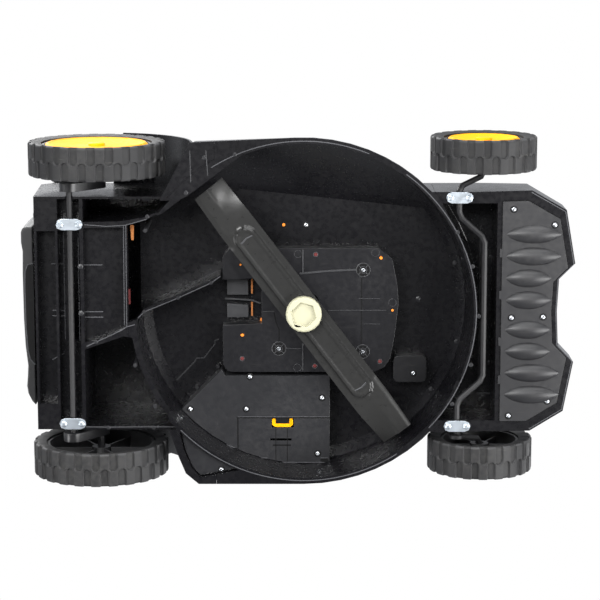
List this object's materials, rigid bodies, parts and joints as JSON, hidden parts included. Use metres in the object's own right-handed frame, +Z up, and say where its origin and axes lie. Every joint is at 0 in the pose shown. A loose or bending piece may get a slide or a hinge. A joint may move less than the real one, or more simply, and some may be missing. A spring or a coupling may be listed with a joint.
{
  "type": "lawn mower",
  "caption": "Rotary lawn mower with moulded deck, cranked wheel axles, blade under the deck, battery bay, rear flap and folded tube handle.",
  "frame": {"origin": "on the ground plane under the middle of the bounding box", "axes": "+X towards the mower's front, +Y towards its left side, +Z up"},
  "size_m": [0.71, 0.4527, 0.2744],
  "materials": {
    "black_moulding": "fine texture",
    "grey_moulding": "satin",
    "yellow_moulding": "gloss",
    "red_moulding": "gloss",
    "zinc": "zinc plated",
    "dark_steel": "black finish",
    "steel": "plain",
    "bolt_cap": "satin",
    "hard_tyre": "moulded tread",
    "handle_tube": "black coated",
    "grip_foam": "foam sleeve"
  },
  "bodies": {
    "chassis": {"deck": "black_moulding", "rear_body": "black_moulding", "nose": "black_moulding", "front_panel": "grey_moulding", "rear_left_clamp": "zinc", "rear_right_clamp": "zinc", "front_left_clamp": "zinc", "front_right_clamp": "zinc", "motor_housing": "steel", "motor_plate": "black_moulding", "electronics_cover": "grey_moulding", "controller": "steel", "side_box": "grey_moulding", "side_latch": "yellow_moulding", "corner_cover": "grey_moulding", "ceiling_bracket": "black_moulding", "motor_cover": "yellow_moulding", "battery_bay": "black_moulding", "lid_pin": "steel", "battery_pack": "grey_moulding", "key_socket": "black_moulding", "flap_rod": "steel", "left_handle_bracket": "black_moulding", "right_handle_bracket": "black_moulding"},
    "rear_crank": {"rear_axle": "dark_steel", "rear_right_arm": "black_moulding", "height_lever": "black_moulding"},
    "front_crank": {"front_axle": "dark_steel"},
    "link": {"height_link": "zinc"},
    "cutter": {"blade": "dark_steel", "blade_bolt": "bolt_cap", "blade_carrier": "grey_moulding", "motor_shaft": "steel"},
    "lid": {"battery_lid": "yellow_moulding"},
    "flap": {"rear_flap": "black_moulding"},
    "key": {"safety_key": "red_moulding"},
    "lower_handle": {"left_lower_tube": "handle_tube", "right_lower_tube": "handle_tube"},
    "upper_handle_loop": {"upper_handle": "handle_tube", "left_grip": "grip_foam", "right_grip": "grip_foam", "switch_box": "black_moulding"},
    "bail": {"bail_lever": "yellow_moulding"},
    "button": {"start_button": "yellow_moulding"},
    "left_lower_knob_body": {"left_lower_knob": "black_moulding"},
    "right_lower_knob_body": {"right_lower_knob": "black_moulding"},
    "left_fold_knob_body": {"left_fold_knob": "black_moulding"},
    "right_fold_knob_body": {"right_fold_knob": "black_moulding"},
    "rear_left_wheel": {"rear_left_tyre": "hard_tyre", "rear_left_rim": "black_moulding", "rear_left_hubcap": "yellow_moulding"},
    "rear_right_wheel": {"rear_right_tyre": "hard_tyre", "rear_right_rim": "black_moulding", "rear_right_hubcap": "yellow_moulding"},
    "front_left_wheel": {"front_left_tyre": "hard_tyre", "front_left_rim": "black_moulding", "front_left_hubcap": "yellow_moulding"},
    "front_right_wheel": {"front_right_tyre": "hard_tyre", "front_right_rim": "black_moulding", "front_right_hubcap": "yellow_moulding"}
  },
  "joints": [
    {"name": "rear_axle_pivot", "type": "hinge", "parent": "chassis", "child": "rear_crank", "pos_m": [-0.285, 0, 0.0515], "axis": [0, 1, 0], "range_deg": [-22, 22]},
    {"name": "front_axle_pivot", "type": "hinge", "parent": "chassis", "child": "front_crank", "pos_m": [0.208, 0, 0.036], "axis": [0, 1, 0], "range_deg": [-22, 22]},
    {"name": "link_pivot", "type": "hinge", "parent": "rear_crank", "child": "link", "pos_m": [-0.285, 0, 0.1575], "axis": [0, 1, 0], "range_deg": [-22, 22]},
    {"name": "rear_left_wheel_spin", "type": "hinge", "parent": "rear_crank", "child": "rear_left_wheel", "pos_m": [-0.2525, 0.1953, 0.0875], "axis": [0, 1, 0], "continuous": true},
    {"name": "rear_right_wheel_spin", "type": "hinge", "parent": "rear_crank", "child": "rear_right_wheel", "pos_m": [-0.2525, -0.1953, 0.0875], "axis": [0, 1, 0], "continuous": true},
    {"name": "front_left_wheel_spin", "type": "hinge", "parent": "front_crank", "child": "front_left_wheel", "pos_m": [0.24, 0.186, 0.0675], "axis": [0, 1, 0], "continuous": true},
    {"name": "front_right_wheel_spin", "type": "hinge", "parent": "front_crank", "child": "front_right_wheel", "pos_m": [0.24, -0.2043, 0.0675], "axis": [0, 1, 0], "continuous": true},
    {"name": "blade_spin", "type": "hinge", "parent": "chassis", "child": "cutter", "pos_m": [0.012, 0, 0.052], "axis": [0, 0, 1], "continuous": true},
    {"name": "lid_hinge", "type": "hinge", "parent": "chassis", "child": "lid", "pos_m": [-0.1005, 0, 0.2665], "axis": [0, 1, 0], "range_deg": [0, 95]},
    {"name": "flap_hinge", "type": "hinge", "parent": "chassis", "child": "flap", "pos_m": [-0.3405, 0, 0.1775], "axis": [0, 1, 0], "range_deg": [0, 75], "stiffness_Nm_per_rad": 0.3, "springref_deg": -28.65},
    {"name": "key_slide", "type": "slide", "parent": "chassis", "child": "key", "axis": [0, 0, 1], "range_m": [0, 0.02]},
    {"name": "lower_handle_fold", "type": "hinge", "parent": "chassis", "child": "lower_handle", "pos_m": [-0.312, 0, 0.212], "axis": [0, -1, 0], "range_deg": [0, 130]},
    {"name": "upper_handle_fold", "type": "hinge", "parent": "lower_handle", "child": "upper_handle_loop", "pos_m": [0.11, 0, 0.226], "axis": [0, 1, 0], "range_deg": [0, 180]},
    {"name": "bail_hinge", "type": "hinge", "parent": "upper_handle_loop", "child": "bail", "pos_m": [-0.212, 0, 0.23443], "axis": [0, -1, 0], "range_deg": [0, 18], "stiffness_Nm_per_rad": 0.2, "springref_deg": -22.92},
    {"name": "button_slide", "type": "slide", "parent": "upper_handle_loop", "child": "button", "axis": [1, 0, 0], "range_m": [0, 0.004], "stiffness_N_per_m": 300, "springref_m": -0.002},
    {"name": "left_lower_knob_turn", "type": "hinge", "parent": "chassis", "child": "left_lower_knob_body", "pos_m": [-0.312, 0.1468, 0.212], "axis": [0, 1, 0], "continuous": true},
    {"name": "right_lower_knob_turn", "type": "hinge", "parent": "chassis", "child": "right_lower_knob_body", "pos_m": [-0.312, -0.1468, 0.212], "axis": [0, 1, 0], "continuous": true},
    {"name": "left_fold_knob_turn", "type": "hinge", "parent": "lower_handle", "child": "left_fold_knob_body", "pos_m": [0.11, 0.1415, 0.226], "axis": [0, 1, 0], "continuous": true},
    {"name": "right_fold_knob_turn", "type": "hinge", "parent": "lower_handle", "child": "right_fold_knob_body", "pos_m": [0.11, -0.1415, 0.226], "axis": [0, 1, 0], "continuous": true}
  ],
  "couplings": [
    {"joint": "front_axle_pivot", "follows": "rear_axle_pivot", "ratio": 1},
    {"joint": "link_pivot", "follows": "rear_axle_pivot", "ratio": -1}
  ]
}
